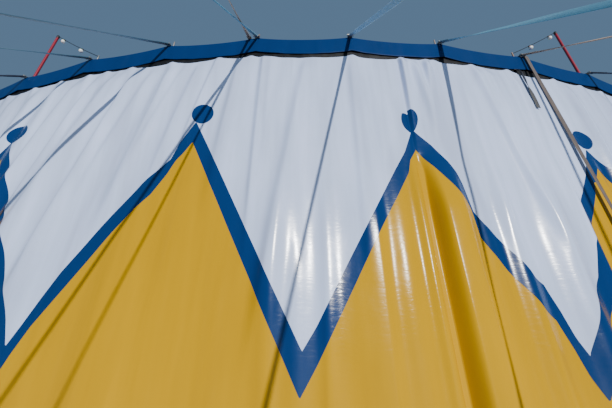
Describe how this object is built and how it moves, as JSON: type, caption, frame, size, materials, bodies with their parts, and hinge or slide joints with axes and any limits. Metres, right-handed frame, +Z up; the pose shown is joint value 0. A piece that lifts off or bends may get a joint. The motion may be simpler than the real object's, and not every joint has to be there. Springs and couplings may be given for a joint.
{
  "type": "circus tent side wall run with eave",
  "caption": "Curved run of a round circus tent's cloth side wall with zigzag pattern, eave valance, roof edge, side poles, guy straps, stakes and festoon lights.",
  "frame": {"origin": "centre of the footprint's box at ground level", "axes": "+Z up, -Y away from the tent towards the stakes, +X to the right seen from outside"},
  "size_m": [13.1118, 6.1276, 5.39],
  "materials": {
    "white_cloth": "glossy coated polyester cloth, white",
    "blue_cloth": "glossy coated polyester cloth, blue",
    "yellow_cloth": "glossy coated polyester cloth, yellow",
    "black_cloth": "matt coated hem",
    "pole_steel": "galvanised, rusty at the pin",
    "stake_steel": "bare forged steel, rusty",
    "blue_webbing": "woven polyester webbing, blue",
    "tan_webbing": "woven polyester webbing, faded tan",
    "grey_webbing": "woven polyester webbing, grey",
    "red_paint": "red paint on steel tube",
    "black_rubber": "matt cable jacket",
    "bulb_glass": "opal bulb"
  },
  "bodies": {
    "root": {"white_field_left": "white_cloth", "blue_zigzag_left": "blue_cloth", "yellow_field_left": "yellow_cloth", "white_field_right": "white_cloth", "blue_zigzag_right": "blue_cloth", "yellow_field_right": "yellow_cloth", "eave_valance": "blue_cloth", "wall_lacing_hem": "black_cloth", "roof_edge_strip": "blue_cloth", "side_pole_01": "pole_steel", "guy_strap_01": "blue_webbing", "ground_stake_01": "stake_steel", "side_pole_02": "pole_steel", "guy_strap_02": "blue_webbing", "ground_stake_02": "stake_steel", "side_pole_03": "pole_steel", "guy_strap_03": "blue_webbing", "ground_stake_03": "stake_steel", "side_pole_04": "pole_steel", "guy_strap_04": "blue_webbing", "ground_stake_04": "stake_steel", "side_pole_05": "pole_steel", "guy_strap_05": "blue_webbing", "ground_stake_05": "stake_steel", "side_pole_06": "pole_steel", "guy_strap_06": "blue_webbing", "ground_stake_06": "stake_steel", "side_pole_07": "pole_steel", "guy_strap_07": "blue_webbing", "ground_stake_07": "stake_steel", "side_pole_08": "pole_steel", "guy_strap_08": "blue_webbing", "ground_stake_08": "stake_steel", "side_pole_09": "pole_steel", "guy_strap_09": "blue_webbing", "ground_stake_09": "stake_steel", "side_pole_10": "pole_steel", "guy_strap_10": "blue_webbing", "ground_stake_10": "stake_steel", "storm_strap_middle": "tan_webbing", "ground_stake_storm": "stake_steel", "storm_strap_wall": "tan_webbing", "storm_peg": "stake_steel", "loose_strap_tail": "grey_webbing", "light_rod_left": "red_paint", "festoon_string_left": "black_rubber", "festoon_bulb_left_1": "bulb_glass", "festoon_bulb_left_2": "bulb_glass", "light_rod_right": "red_paint", "festoon_string_right": "black_rubber", "festoon_bulb_right_1": "bulb_glass", "festoon_bulb_right_2": "bulb_glass"}
  },
  "joints": []
}
